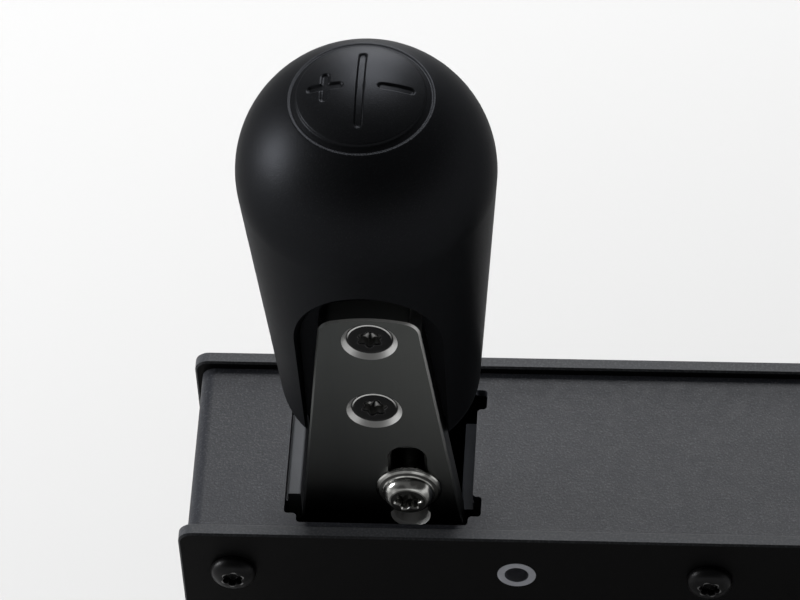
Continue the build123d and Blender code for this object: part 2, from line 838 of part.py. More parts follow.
with BuildPart() as adjuster_collar:
    with BuildSketch(Plane.YZ.offset(end_inner - face_gap - collar_length)):
        with Locations((0, pivot_height)):
            Circle(collar_size / 2)
            Circle(adjuster_size / 2 + fit_gap, mode=Mode.SUBTRACT)
    extrude(amount=collar_length)
adjuster_collar.part.label = "adjuster_collar"
export_step(adjuster_collar.part, "parts/adjuster_collar.step")

# Pads on the window's tabs: the rear one is level with the cover, the front one is lower
with BuildPart() as bump_pad_rear:
    with BuildSketch(lever_plane(0)):
        with BuildLine():
            pad_back = rear_edge - rear_pad_gap
            pad_step = rear_pad_drop + rear_pad_lip
            pad_foot = rear_pad_drop + rear_pad_depth
            Polyline(
                (-rear_pad_face, -rear_pad_drop),
                (-rear_pad_face, -pad_foot),
                (-rear_edge, -pad_foot),
                (-rear_edge, -pad_step),
                (-pad_back, -pad_step),
                (-pad_back, -rear_pad_drop),
                close=True,
            )
        make_face()
    extrude(amount=pad_width / 2, both=True)
    fillet(bump_pad_rear.edges().filter_by(Axis.Y).group_by(Axis.Z)[-1], pad_round)
bump_pad_rear.part.label = "bump_pad_rear"
export_step(bump_pad_rear.part, "parts/bump_pad_rear.step")

with BuildPart() as bump_pad_front:
    with BuildSketch(lever_plane(0)):
        with Locations((front_pad_face, -front_pad_drop)):
            Rectangle(front_edge - front_pad_face, front_pad_depth, align=(Align.MIN, Align.MAX))
    extrude(amount=pad_width / 2, both=True)
    fillet(bump_pad_front.edges().filter_by(Axis.Y).group_by(Axis.X)[0], pad_round)
bump_pad_front.part.label = "bump_pad_front"
export_step(bump_pad_front.part, "parts/bump_pad_front.step")

# Electronics: a board on standoffs with the angle sensor, the controller and the socket
with BuildPart() as sensor_board:
    with BuildSketch(upright(board_near + board_thickness)):
        with Locations((board_front, board_middle)):
            Rectangle(board_front - board_rear, board_height, align=(Align.MAX, Align.CENTER))
        with Locations(*board_screw_places):
            Circle(board_thread / 2 + screw_clearance, mode=Mode.SUBTRACT)
    extrude(amount=board_thickness)
sensor_board.part.label = "sensor_board"
export_step(sensor_board.part, "parts/sensor_board.step")

with BuildPart() as board_standoffs:
    with BuildSketch(upright(inner_half)):
        with Locations(*board_screw_places):
            Circle(standoff_size / 2)
            Circle(board_thread / 2 + fit_gap, mode=Mode.SUBTRACT)
    extrude(amount=standoff_length)
board_standoffs.part.label = "board_standoffs"
export_step(board_standoffs.part, "parts/board_standoffs.step")

board_screw = button_screw(board_thread, board_screw_length)
with BuildPart() as board_screws:
    with Locations(upright(board_near)):
        with Locations(*board_screw_places):
            add(board_screw)
board_screws.part.label = "board_screws"
export_step(board_screws.part, "parts/board_screws.step")

with BuildPart() as hall_sensor:
    with BuildSketch(upright(board_near)):
        with Locations((sensor_x, pivot_height)):
            Rectangle(hall_chip_size, hall_chip_size)
    extrude(amount=hall_chip_thickness)
hall_sensor.part.label = "hall_sensor"
export_step(hall_sensor.part, "parts/hall_sensor.step")

with BuildPart() as controller_chip:
    with BuildSketch(upright(board_near)):
        with Locations((controller_chip_place, board_middle)):
            Rectangle(controller_chip_length, controller_chip_width)
    extrude(amount=controller_chip_thickness)
controller_chip.part.label = "controller_chip"
export_step(controller_chip.part, "parts/controller_chip.step")

with BuildPart() as usb_socket:
    connector_mouth = end_face + connector_proud
    connector_place = (board_near - connector_height / 2, board_middle)
    with BuildSketch(Plane.YZ.offset(connector_mouth)):
        with Locations(connector_place):
            RectangleRounded(connector_height, connector_width, connector_corner)
    extrude(amount=-connector_length)
    with BuildSketch(Plane.YZ.offset(connector_mouth)):
        with Locations(connector_place):
            RectangleRounded(
                connector_height - 2 * connector_wall,
                connector_width - 2 * connector_wall,
                connector_corner - connector_wall,
            )
    extrude(amount=connector_wall - connector_length, mode=Mode.SUBTRACT)
    with BuildSketch(Plane.YZ.offset(connector_mouth - connector_tongue_inset)):
        with Locations(connector_place):
            Rectangle(connector_tongue_thickness, connector_tongue_width)
    extrude(amount=connector_tongue_inset + connector_wall - connector_length)
usb_socket.part.label = "usb_socket"
export_step(usb_socket.part, "parts/usb_socket.step")
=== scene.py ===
"""Looks of a sim racing gear shifter: slim black steel case, rocking lever, pear-shaped knob."""

import json
import math

import bmesh
import bpy
from mathutils import Matrix, Vector


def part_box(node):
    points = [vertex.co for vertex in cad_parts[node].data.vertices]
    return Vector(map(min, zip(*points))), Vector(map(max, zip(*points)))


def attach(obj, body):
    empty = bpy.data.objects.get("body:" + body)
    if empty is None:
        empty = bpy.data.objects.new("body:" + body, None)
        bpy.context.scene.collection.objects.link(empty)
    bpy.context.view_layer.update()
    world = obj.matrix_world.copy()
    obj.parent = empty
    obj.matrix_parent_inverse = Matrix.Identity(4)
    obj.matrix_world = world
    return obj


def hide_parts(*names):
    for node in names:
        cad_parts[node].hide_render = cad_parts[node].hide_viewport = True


MM = 0.001
TINY = 1e-7
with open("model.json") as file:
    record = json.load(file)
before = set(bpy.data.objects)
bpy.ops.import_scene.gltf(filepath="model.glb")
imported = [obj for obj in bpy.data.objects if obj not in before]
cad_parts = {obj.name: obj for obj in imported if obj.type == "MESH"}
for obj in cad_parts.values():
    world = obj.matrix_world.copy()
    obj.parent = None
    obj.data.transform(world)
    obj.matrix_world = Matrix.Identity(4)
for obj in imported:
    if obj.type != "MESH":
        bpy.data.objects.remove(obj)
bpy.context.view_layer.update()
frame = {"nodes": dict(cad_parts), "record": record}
nodes = frame["nodes"]
SLOTS = {entry["node"]: entry["material_slot"] for entry in frame["record"]["subparts"]}

# Places that follow from the frame
blade_low, blade_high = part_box("lever_blade")
knob_low, knob_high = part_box("knob")
screws_low, screws_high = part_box("knob_screws")
LEVER_X = (knob_low.x + knob_high.x) / 2
COVER_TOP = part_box("top_cover")[1].z
CASE_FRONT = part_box("side_plate_near")[0].y
BLADE_FRONT = blade_low.y
BLADE_BACK = blade_high.y


# Materials

# Where the blade's painted sheen grows, its bare hole edges lie and the clamp screw's collar ends
PAINTED_SHEEN_FOOT = COVER_TOP - 4 * MM
PAINTED_SHEEN_TOP = COVER_TOP + 56 * MM
PAINTED_SHEEN_LEFT = LEVER_X - 8 * MM
PAINTED_SHEEN_RIGHT = LEVER_X + 15 * MM
HOLES_LEFT = LEVER_X - 5.8 * MM
HOLES_RIGHT = LEVER_X + 10.4 * MM
CONES_FOOT = screws_low.z - 1 * MM
CONES_TOP = screws_high.z + 1 * MM
SLOT_FOOT = COVER_TOP - 4.8 * MM
SLOT_FOOT_TOP = COVER_TOP + 1 * MM
COLLAR_FRONT = BLADE_FRONT - 1.35 * MM

# Linear colours
COAT = (0.020, 0.0215, 0.026)
COAT_PALE_SPECK = (0.058, 0.061, 0.069)
COAT_DARK_SPECK = (0.009, 0.009, 0.010)
COAT_EDGE = (0.09, 0.09, 0.10)
# Side plates: the face colours are painted shade and the edge colours painted light
PLATE_FACE_PAINTED_SHADE = (0.0030, 0.0030, 0.0032)
PLATE_SPECK = (0.006, 0.006, 0.0065)
PLATE_EDGE_PAINTED_LIGHT = (0.044, 0.046, 0.050)
PLATE_EDGE_PAINTED_LIGHT_SPECK = (0.078, 0.080, 0.085)
BLADE = (0.007, 0.007, 0.0072)
# The blade's upper colours below are a painted sheen
BLADE_PAINTED_SHEEN = (0.078, 0.082, 0.080)
BLADE_PAINTED_SHEEN_RIGHT = (0.125, 0.129, 0.124)
# The chamfer colour is a painted highlight
BLADE_CHAMFER_PAINTED_HIGHLIGHT = (0.42, 0.42, 0.41)
# The slot foot's colour is bare steel painted brighter than the rest, as painted light
BLADE_SLOT_FOOT_BARE_AND_PAINTED_LIGHT = (0.86, 0.86, 0.85)
# Bare steel of the countersinks; on the knob screws' upper rims it is a painted highlight
WORN_STEEL_AND_PAINTED_HIGHLIGHT = (0.60, 0.60, 0.59)
CLAMP = (0.52, 0.52, 0.50)
CLAMP_PATCH = (0.10, 0.10, 0.095)
# The flat and collar colours below are painted shade
CLAMP_FLAT_PAINTED_SHADE = (0.022, 0.022, 0.021)
CLAMP_COLLAR_PAINTED_SHADE = (0.05, 0.05, 0.048)
OXIDE = (0.016, 0.016, 0.0165)
OXIDE_EDGE = (0.30, 0.30, 0.30)
OXIDE_RECESS = (0.28, 0.28, 0.275)
KNOB = (0.0125, 0.0131, 0.0146)
KNOB_GRAIN = (0.023, 0.024, 0.026)
FLOOR = (0.58, 0.58, 0.58)


class Shader:
    """A node material that is built up one step at a time."""

    def __init__(self, name, color, roughness, metallic=0.0):
        self.material = bpy.data.materials.new(name)
        self.material.use_nodes = True
        self.tree = self.material.node_tree
        self.bsdf = self.tree.nodes["Principled BSDF"]
        self.bsdf.inputs["Base Color"].default_value = (*color, 1.0)
        self.bsdf.inputs["Roughness"].default_value = roughness
        self.bsdf.inputs["Metallic"].default_value = metallic
        self.color = color
        self.roughness = roughness
        self.position = self.node("ShaderNodeTexCoord").outputs["Object"]

    def node(self, kind, **settings):
        """Adds a node; a setting goes to the input of its name, or else to the node itself."""
        made = self.tree.nodes.new(kind)
        for key, value in settings.items():
            if key in made.inputs:
                made.inputs[key].default_value = value
            else:
                setattr(made, key, value)
        return made

    def link(self, source, target):
        self.tree.links.new(source, target)

    def carry_on(self, target, socket, start):
        """Feeds a new node with what reaches a target so far, or with its starting value."""
        if target.links:
            self.link(target.links[0].from_socket, socket)
        else:
            socket.default_value = start

    def noise(self, size, detail=2.0, roughness=0.5, stretch=None):
        """Noise whose blobs are about the given size in metres."""
        made = self.node(
            "ShaderNodeTexNoise", Scale=1.0 / size, Detail=detail, Roughness=roughness
        )
        place = self.position
        if stretch:
            mapping = self.node("ShaderNodeMapping", Scale=stretch)
            self.link(self.position, mapping.inputs["Vector"])
            place = mapping.outputs["Vector"]
        self.link(place, made.inputs["Vector"])
        return made.outputs["Fac"]

    def ramp(self, source, low, high, low_value=0.0, high_value=1.0):
        """Maps the span from low to high onto two values, and holds them beyond it."""
        made = self.node("ShaderNodeMapRange")
        made.inputs["From Min"].default_value = low
        made.inputs["From Max"].default_value = high
        made.inputs["To Min"].default_value = low_value
        made.inputs["To Max"].default_value = high_value
        self.link(source, made.inputs["Value"])
        return made.outputs["Result"]

    def math(self, operation, first, second=0.0):
        made = self.node("ShaderNodeMath", operation=operation)
        for place, value in enumerate((first, second)):
            if isinstance(value, (int, float)):
                made.inputs[place].default_value = value
            else:
                self.link(value, made.inputs[place])
        return made.outputs["Value"]

    def both(self, first, second):
        """Mask where two masks meet, or a mask weakened by a number."""
        return self.math("MULTIPLY", first, second)

    def tint(self, mask, color):
        """Mixes a colour in over what is there, by a mask."""
        mix = self.node("ShaderNodeMix", data_type="RGBA")
        target = self.bsdf.inputs["Base Color"]
        self.carry_on(target, mix.inputs["A"], (*self.color, 1.0))
        mix.inputs["B"].default_value = (*color, 1.0)
        self.link(mask, mix.inputs["Factor"])
        self.link(mix.outputs["Result"], target)

    def rough(self, mask, value):
        """Moves the roughness towards a value, by a mask."""
        mix = self.node("ShaderNodeMix", data_type="FLOAT")
        target = self.bsdf.inputs["Roughness"]
        self.carry_on(target, mix.inputs["A"], self.roughness)
        mix.inputs["B"].default_value = value
        self.link(mask, mix.inputs["Factor"])
        self.link(mix.outputs["Result"], target)

    def bump(self, height, depth, strength=1.0):
        """Raises the surface a little, on top of the bumps it has."""
        made = self.node("ShaderNodeBump", Distance=depth, Strength=strength)
        target = self.bsdf.inputs["Normal"]
        if target.links:
            self.link(target.links[0].from_socket, made.inputs["Normal"])
        self.link(height, made.inputs["Height"])
        self.link(made.outputs["Normal"], target)

    def edges(self, radius, low=0.86, high=0.995):
        """Mask that is 1 along convex and concave edges and 0 on open faces."""
        bevel = self.node("ShaderNodeBevel", samples=4, Radius=radius)
        flat = self.node("ShaderNodeNewGeometry")
        dot = self.node("ShaderNodeVectorMath", operation="DOT_PRODUCT")
        self.link(bevel.outputs["Normal"], dot.inputs[0])
        self.link(flat.outputs["Normal"], dot.inputs[1])
        return self.ramp(dot.outputs["Value"], high, low)

    def along(self, vector, axis):
        """One component of a vector."""
        parts = self.node("ShaderNodeSeparateXYZ")
        self.link(vector, parts.inputs["Vector"])
        return parts.outputs[axis]

    def place(self, axis):
        """Where the surface is along one axis."""
        return self.along(self.position, axis)

    def facing(self, axis, signed=False):
        """One component of the face's own direction, or only its size."""
        flat = self.node("ShaderNodeNewGeometry")
        part = self.along(flat.outputs["True Normal"], axis)
        return part if signed else self.math("ABSOLUTE", part)

    def within(self, axis, low, high):
        """Mask that is 1 between two places along an axis."""
        above = self.math("GREATER_THAN", self.place(axis), low)
        below = self.math("LESS_THAN", self.place(axis), high)
        return self.both(above, below)


def dimmed(color, factor):
    return tuple(part * factor for part in color)


def powder_coat():
    """Fine speckled black powder coat."""
    made = Shader("powder_coat", COAT, 0.5)
    made.bsdf.inputs["Specular IOR Level"].default_value = 0.12
    grain = made.noise(0.45 * MM, detail=3.0, roughness=0.6)
    made.tint(made.ramp(grain, 0.54, 0.68, high_value=0.6), COAT_PALE_SPECK)
    made.tint(made.ramp(grain, 0.44, 0.32, high_value=0.6), COAT_DARK_SPECK)
    made.rough(made.ramp(made.noise(2.2 * MM), 0.35, 0.7), 0.44)
    made.bump(grain, 0.05 * MM, 0.9)
    made.bump(made.noise(1.6 * MM), 0.04 * MM, 0.5)
    made.tint(made.both(made.edges(0.25 * MM), 0.3), COAT_EDGE)
    return made.material


def plate_coat():
    """Side plates in two painted copies of one speckled coat: large faces painted dark as painted
    shade, cut edges painted lighter, with the same grey speckle as the cover, as painted light.
    """
    made = Shader("plate_coat", PLATE_FACE_PAINTED_SHADE, 0.45)
    made.bsdf.inputs["Specular IOR Level"].default_value = 0.05
    grain = made.noise(0.5 * MM, detail=3.0)
    made.bump(grain, 0.02 * MM, 0.6)
    made.tint(made.ramp(grain, 0.55, 0.7, high_value=0.5), PLATE_SPECK)
    # Painted light on the cut edges, by face direction; the large faces keep the dark painted
    # shade
    edge = made.ramp(made.facing("Y"), 0.8, 0.55)
    made.tint(edge, PLATE_EDGE_PAINTED_LIGHT)
    made.tint(made.both(edge, made.ramp(grain, 0.45, 0.68, high_value=0.6)), PLATE_EDGE_PAINTED_LIGHT_SPECK)
    return made.material


def blade_finish():
    """Black steel with a painted sheen growing towards the top right, thin chamfers painted bright
    on the right side only as a painted highlight, bare holes, and a bare slot foot painted
    brighter as painted light.
    """
    made = Shader("blade_finish", BLADE, 0.34, 1.0)
    # Painted sheen: lighter towards the top, and more so towards the right
    height = made.ramp(made.place("Z"), PAINTED_SHEEN_FOOT, PAINTED_SHEEN_TOP)
    made.tint(height, BLADE_PAINTED_SHEEN)
    right = made.ramp(made.place("X"), PAINTED_SHEEN_LEFT, PAINTED_SHEEN_RIGHT)
    made.tint(made.both(height, right), BLADE_PAINTED_SHEEN_RIGHT)
    grain = made.noise(0.5 * MM, detail=4.0, stretch=(1.0, 1.0, 0.06))
    made.rough(made.ramp(grain, 0.3, 0.7), 0.42)
    made.bump(grain, 0.008 * MM, 0.4)
    made.bump(made.noise(3 * MM), 0.015 * MM, 0.3)
    front = made.facing("Y")
    slanted = made.both(made.ramp(front, 0.2, 0.4), made.ramp(front, 0.9, 0.8))
    # Painted highlight on the chamfers of the right side, stronger higher up
    right_chamfer_highlight = made.both(slanted, made.ramp(made.facing("X", signed=True), -0.4, 0.2))
    made.tint(made.both(right_chamfer_highlight, height), BLADE_CHAMFER_PAINTED_HIGHLIGHT)
    middle = made.within("X", HOLES_LEFT, HOLES_RIGHT)
    hole = made.both(middle, made.ramp(front, 0.97, 0.93))
    cones = made.both(hole, made.within("Z", CONES_FOOT, CONES_TOP))
    made.tint(cones, WORN_STEEL_AND_PAINTED_HIGHLIGHT)
    # Painted light: the bare slot foot is brighter than the other bare steel
    foot = made.both(hole, made.within("Z", SLOT_FOOT, SLOT_FOOT_TOP))
    made.tint(foot, BLADE_SLOT_FOOT_BARE_AND_PAINTED_LIGHT)
    made.rough(cones, 0.4)
    made.rough(foot, 0.7)
    # The end face under the knob is mostly not metallic, or it would mirror the dark pocket
    upright = made.ramp(made.facing("Z"), 0.85, 0.97, low_value=1.0, high_value=0.2)
    made.link(upright, made.bsdf.inputs["Metallic"])
    return made.material


def machined(name, color, roughness, stretch=(1.0, 1.0, 1.0), metallic=1.0):
    """Bare metal with fine tool marks and dull patches."""
    made = Shader(name, color, roughness, metallic)
    marks = made.noise(0.3 * MM, detail=4.0, stretch=stretch)
    made.rough(made.ramp(marks, 0.3, 0.7), roughness + 0.12)
    patches = made.ramp(made.noise(4 * MM, detail=3.0), 0.45, 0.75, high_value=0.5)
    made.tint(patches, dimmed(color, 0.75))
    made.bump(marks, 0.008 * MM, 0.5)
    return made.material


def clamp_finish():
    """Grey steel whose round parts catch the lamps, with dull flat faces painted dark as painted
    shade and painted shade on the lower half of its collar.
    """
    made = Shader("clamp_finish", CLAMP, 0.2, 1.0)
    made.tint(made.ramp(made.noise(2.4 * MM, detail=1.0), 0.45, 0.6, high_value=0.7), CLAMP_PATCH)
    # Painted shade on the forward-facing flat faces
    flat = made.ramp(made.facing("Y"), 0.93, 0.97)
    made.tint(flat, CLAMP_FLAT_PAINTED_SHADE)
    made.rough(flat, 0.4)
    # Painted shade on the lower half of the collar
    flange = made.within("Y", COLLAR_FRONT, BLADE_FRONT)
    painted_shade_below = made.ramp(made.facing("Z", signed=True), 0.4, 0.1)
    made.tint(made.both(flange, painted_shade_below), CLAMP_COLLAR_PAINTED_SHADE)
    made.bump(made.noise(0.3 * MM, detail=3.0), 0.004 * MM, 0.5)
    return made.material


def dark_screw(name, rims=False):
    """Black oxide steel; with rims, the upper rim of a flat head gets a painted highlight and its
    recess is worn.
    """
    made = Shader(name, OXIDE, 0.34, 1.0)
    marks = made.noise(0.25 * MM, detail=4.0)
    made.rough(made.ramp(marks, 0.3, 0.7), 0.44)
    made.bump(marks, 0.006 * MM, 0.5)
    made.tint(made.both(made.edges(0.12 * MM), 0.7), OXIDE_EDGE)
    if rims:
        # Painted highlight on the upper half of the head's rim
        upper = made.ramp(made.facing("Z", signed=True), 0.0, 0.15)
        front = made.facing("Y")
        rim = made.both(made.ramp(front, 0.985, 0.965), made.ramp(front, 0.75, 0.9))
        made.tint(made.both(rim, upper), WORN_STEEL_AND_PAINTED_HIGHLIGHT)
        made.tint(made.ramp(front, 0.35, 0.25), OXIDE_RECESS)
    return made.material


def knob_finish():
    """Soft matte black with a faint fine grain, partly metallic to keep grazing gloss weak."""
    made = Shader("knob_finish", KNOB, 0.40, 0.75)
    made.bsdf.inputs["Specular IOR Level"].default_value = 0.0
    made.bsdf.inputs["Specular Tint"].default_value = (0.55, 0.55, 0.55, 1.0)
    grain = made.noise(0.3 * MM)
    made.bump(grain, 0.03 * MM, 0.8)
    made.rough(made.ramp(grain, 0.3, 0.7), 0.46)
    made.tint(made.ramp(grain, 0.55, 0.75, high_value=0.5), KNOB_GRAIN)
    return made.material


def plastic(name, color, roughness, gloss=0.5):
    """Moulded plastic or rubber with a fine grain and slight shade changes."""
    made = Shader(name, color, roughness)
    made.bsdf.inputs["Specular IOR Level"].default_value = gloss
    grain = made.noise(0.4 * MM, detail=3.0)
    made.bump(grain, 0.02 * MM, 0.6)
    shades = made.ramp(made.noise(6 * MM, detail=3.0), 0.4, 0.7, high_value=0.5)
    made.tint(shades, dimmed(color, 0.8))
    made.rough(made.ramp(grain, 0.35, 0.65), roughness + 0.08)
    return made.material


# Tool marks that run along the part, or along a pin
LENGTHWAYS = (0.05, 1.0, 1.0)
ACROSS = (1.0, 0.1, 1.0)

MATERIALS = {
    "case_steel": powder_coat(),
    "base_metal": machined("base_metal", (0.03, 0.03, 0.033), 0.45, LENGTHWAYS, metallic=0.6),
    "steel_screws": machined("steel_screws", (0.62, 0.61, 0.59), 0.22),
    "dark_screws": dark_screw("dark_screws"),
    "zinc_steel": machined("zinc_steel", (0.50, 0.51, 0.55), 0.34),
    "ground_steel": machined("ground_steel", (0.60, 0.60, 0.61), 0.2, ACROSS),
    "lever_steel": blade_finish(),
    "magnet_plating": machined("magnet_plating", (0.72, 0.71, 0.69), 0.12),
    "block_metal": machined("block_metal", (0.62, 0.63, 0.65), 0.35, LENGTHWAYS),
    "knob_plastic": knob_finish(),
    "insert_brass": machined("insert_brass", (0.70, 0.50, 0.20), 0.3),
    "pad_rubber": plastic("pad_rubber", (0.066, 0.069, 0.075), 0.6, gloss=0.1),
    "board_laminate": plastic("board_laminate", (0.015, 0.075, 0.035), 0.35),
    "chip_plastic": plastic("chip_plastic", (0.02, 0.02, 0.022), 0.5),
    "socket_metal": machined("socket_metal", (0.6, 0.6, 0.6), 0.25),
}
PLATE_FINISH = plate_coat()
KNOB_SCREW_FINISH = dark_screw("knob_screws_finish", rims=True)
CLAMP_FINISH = clamp_finish()
OWN_FINISH = {
    "side_plate_near": PLATE_FINISH,
    "side_plate_far": PLATE_FINISH,
    # The front pad gets a darker copy of the pad rubber as painted shade
    "bump_pad_front": plastic("front_pad_painted_shade", (0.009, 0.010, 0.012), 0.6, gloss=0.03),
}


# Meshes

# Angles in degrees from which an edge is sharp
NODE_SHARP = 25
SCREW_SHARP = 30
SOFTEN_SHARP = 35
WELD = 0.001 * MM


def shade_smooth(piece, degrees):
    """Smooth shading, apart from edges that are sharper than an angle."""
    piece.data.shade_smooth()
    piece.data.set_sharp_from_angle(angle=math.radians(degrees))


def dress_nodes():
    """Gives each CAD node its own finish or that of its slot, and smooth round faces."""
    for name, node in nodes.items():
        node.data.materials.clear()
        node.data.materials.append(OWN_FINISH.get(name, MATERIALS[SLOTS[name]]))
        for face in node.data.polygons:
            face.material_index = 0
        shade_smooth(node, NODE_SHARP)


def mesh_object(name, form, material=None):
    """Object in the scene, made from a bmesh that is freed."""
    data = bpy.data.meshes.new(name)
    form.to_mesh(data)
    form.free()
    made = bpy.data.objects.new(name, data)
    bpy.context.scene.collection.objects.link(made)
    if material:
        data.materials.append(material)
    return made


def bridge(form, loops):
    """Faces between each loop of vertices and the next; a loop of one vertex is a point."""
    for above, below in zip(loops, loops[1:]):
        turns = max(len(above), len(below))
        for step in range(turns):
            after = (step + 1) % turns
            if len(above) == 1:
                form.faces.new((above[0], below[step], below[after]))
            elif len(below) == 1:
                form.faces.new((above[step], below[0], above[after]))
            else:
                form.faces.new((above[step], below[step], below[after], above[after]))


# Knob

BALL = 25.7 * MM
FOOT_ROUND = 7.0 * MM
FOOT = 20.5 * MM
BALL_Z = knob_high.z - BALL
KNOB_TURNS = 384
KNOB_SOFTEN = 0.45 * MM

# Arched pocket that takes the blade, wider and taller at its mouth
POCKET_HALF = 14.4 * MM
POCKET_RISE = 53.0 * MM
MOUTH_HALF = 15.6 * MM
MOUTH_RISE = 69.0 * MM
MOUTH_DEPTH = 15.6 * MM
POCKET_FOOT = knob_low.z - 12 * MM

# Recess in the foot for the tongue of the lever's post
TONGUE_REAR = 14.3 * MM
TONGUE_FRONT = 13.0 * MM
TONGUE_GAP = 1 * MM
TONGUE_LEAD = 0.2 * MM
TONGUE_DEPTH = 6.6 * MM
TONGUE_ROOM = 6.0 * MM

# Plain shift marks engraved on top: a ring, a line across it, a plus and a minus
MARKED = math.radians(36)
MARK_RING = 13.4 * MM
MARK_LINE = 8.6 * MM
MARK_SIDE = 6.9 * MM
MARK_SIGN = 2.7 * MM
MARK_WIDTH = 1.45 * MM
MARK_WALL = 0.35 * MM
MARK_DEPTH = 0.45 * MM


def knob_profile(fine=80, count=40):
    """Outline from the ball's top to the foot's middle, with a cone tangent to both rounds."""
    foot_x = FOOT - FOOT_ROUND
    foot_z = knob_low.z + FOOT_ROUND
    run = Vector((foot_x, foot_z - BALL_Z))
    lean = math.acos((BALL - FOOT_ROUND) / run.length)
    direction = math.atan2(run.y, run.x) + lean
    lowest_mark = math.pi / 2 - MARKED
    angles = [math.pi / 2 - MARKED * step / fine for step in range(fine)]
    angles += [
        lowest_mark + (direction - lowest_mark) * step / count for step in range(count + 1)
    ]
    points = [(BALL * math.cos(angle), BALL_Z + BALL * math.sin(angle)) for angle in angles]
    for step in range(count // 2 + 1):
        angle = direction + (-math.pi / 2 - direction) * step / (count // 2)
        points.append(
            (foot_x + FOOT_ROUND * math.cos(angle), foot_z + FOOT_ROUND * math.sin(angle))
        )
    points.append((0.0, knob_low.z))
    return points


def lathe(form, profile, centre_x):
    """Turns an outline of (radius, height) points about an upright axis."""
    loops = []
    for radius, height in profile:
        if radius < TINY:
            loops.append([form.verts.new((centre_x, 0.0, height))])
            continue
        loop = []
        for step in range(KNOB_TURNS):
            angle = 2 * math.pi * step / KNOB_TURNS
            loop.append(form.verts.new(
                (centre_x + radius * math.cos(angle), radius * math.sin(angle), height)
            ))
        loops.append(loop)
    bridge(form, loops)
    bmesh.ops.recalc_face_normals(form, faces=form.faces)


def arch_points(half, rise, low, count=48):
    """Round-topped outline, from its right foot over the arch to its left foot."""
    points = [(half, low)]
    for step in range(count + 1):
        angle = math.pi * step / count
        points.append((half * math.cos(angle), rise + half * math.sin(angle)))
    points.append((-half, low))
    return points


def loft_between(form, near, far, near_y, far_y, centre_x):
    """Closed form between two outlines of equal length at two depths."""
    loops = []
    for outline, depth in ((near, near_y), (far, far_y)):
        loops.append([form.verts.new((centre_x + x, depth, z)) for x, z in outline])
    bridge(form, loops)
    form.faces.new(loops[0])
    form.faces.new(list(reversed(loops[1])))
    bmesh.ops.recalc_face_normals(form, faces=form.faces)


def apply_modifiers(piece):
    """Bakes a piece's modifiers into its mesh."""
    bpy.context.view_layer.update()
    evaluated = piece.evaluated_get(bpy.context.evaluated_depsgraph_get())
    result = bpy.data.meshes.new_from_object(evaluated)
    piece.modifiers.clear()
    old = piece.data
    piece.data = result
    bpy.data.meshes.remove(old)


def cut(piece, form, name):
    """Takes a closed form out of a piece."""
    cutter = mesh_object(name, form)
    step = piece.modifiers.new(name, "BOOLEAN")
    step.operation = "DIFFERENCE"
    step.solver = "EXACT"
    step.object = cutter
    apply_modifiers(piece)
    bpy.data.objects.remove(cutter)


def block(form, low, high):
    """Box between two corners."""
    for corner in bmesh.ops.create_cube(form, size=1.0)["verts"]:
        corner.co = Vector(
            low[k] + (high[k] - low[k]) * (corner.co[k] + 0.5) for k in range(3)
        )


def soften(piece, width, segments=3):
    """Rounds the sharp edges and keeps the rest as it is."""
    step = piece.modifiers.new("soften", "BEVEL")
    step.width = width
    step.segments = segments
    step.limit_method = "ANGLE"
    step.angle_limit = math.radians(SOFTEN_SHARP)
    step.use_clamp_overlap = True
    apply_modifiers(piece)


def stroke_gap(place, start, end):
    """Distance from a place to a straight stroke."""
    run = end - start
    part = min(max((place - start).dot(run) / run.length_squared, 0.0), 1.0)
    return (place - start - part * run).length


def engrave(piece):
    """Sinks the marks into the ball as grooves with slightly sloping walls."""
    plus = Vector((-MARK_SIDE, 0.0))
    minus = Vector((MARK_SIDE, 0.0))
    across = Vector((MARK_SIGN, 0.0))
    along = Vector((0.0, MARK_SIGN))
    line = Vector((0.0, MARK_LINE))
    strokes = [
        (plus - across, plus + across),
        (plus - along, plus + along),
        (minus - across, minus + across),
        (-line, line),
    ]
    middle = Vector((LEVER_X, 0.0, BALL_Z))
    for vertex in piece.data.vertices:
        out = vertex.co - middle
        if out.z < BALL * math.cos(MARKED):
            continue
        place = Vector((out.x, out.y))
        gaps = [stroke_gap(place, start, end) for start, end in strokes]
        gap = min(abs(place.length - MARK_RING), *gaps)
        part = min(max((MARK_WIDTH / 2 - gap) / MARK_WALL + 0.5, 0.0), 1.0)
        depth = MARK_DEPTH * part * part * (3 - 2 * part)
        vertex.co = middle + out * (1 - depth / out.length)


def build_knob():
    """Turned body with the arched pocket for the blade and the recess for the lever's tongue."""
    form = bmesh.new()
    lathe(form, knob_profile(), LEVER_X)
    knob = mesh_object("knob_body", form, MATERIALS["knob_plastic"])
    form = bmesh.new()
    loft_between(
        form,
        arch_points(POCKET_HALF, COVER_TOP + POCKET_RISE, POCKET_FOOT),
        arch_points(MOUTH_HALF, COVER_TOP + MOUTH_RISE, POCKET_FOOT),
        BLADE_BACK,
        BLADE_BACK - MOUTH_DEPTH,
        LEVER_X,
    )
    cut(knob, form, "pocket")
    form = bmesh.new()
    block(
        form,
        (LEVER_X - TONGUE_REAR - TONGUE_GAP, BLADE_BACK - TONGUE_LEAD, POCKET_FOOT),
        (LEVER_X + TONGUE_FRONT + TONGUE_GAP, BLADE_BACK + TONGUE_DEPTH, knob_low.z + TONGUE_ROOM),
    )
    cut(knob, form, "tongue_room")
    soften(knob, KNOB_SOFTEN)
    engrave(knob)
    knob.data.shade_smooth()
    knob.modifiers.new("even_shading", "WEIGHTED_NORMAL")
    apply_modifiers(knob)
    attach(knob, "handle")
    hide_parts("knob")


# Screws

SCREW_TURNS = 144
FORWARDS = (0, -1, 0)

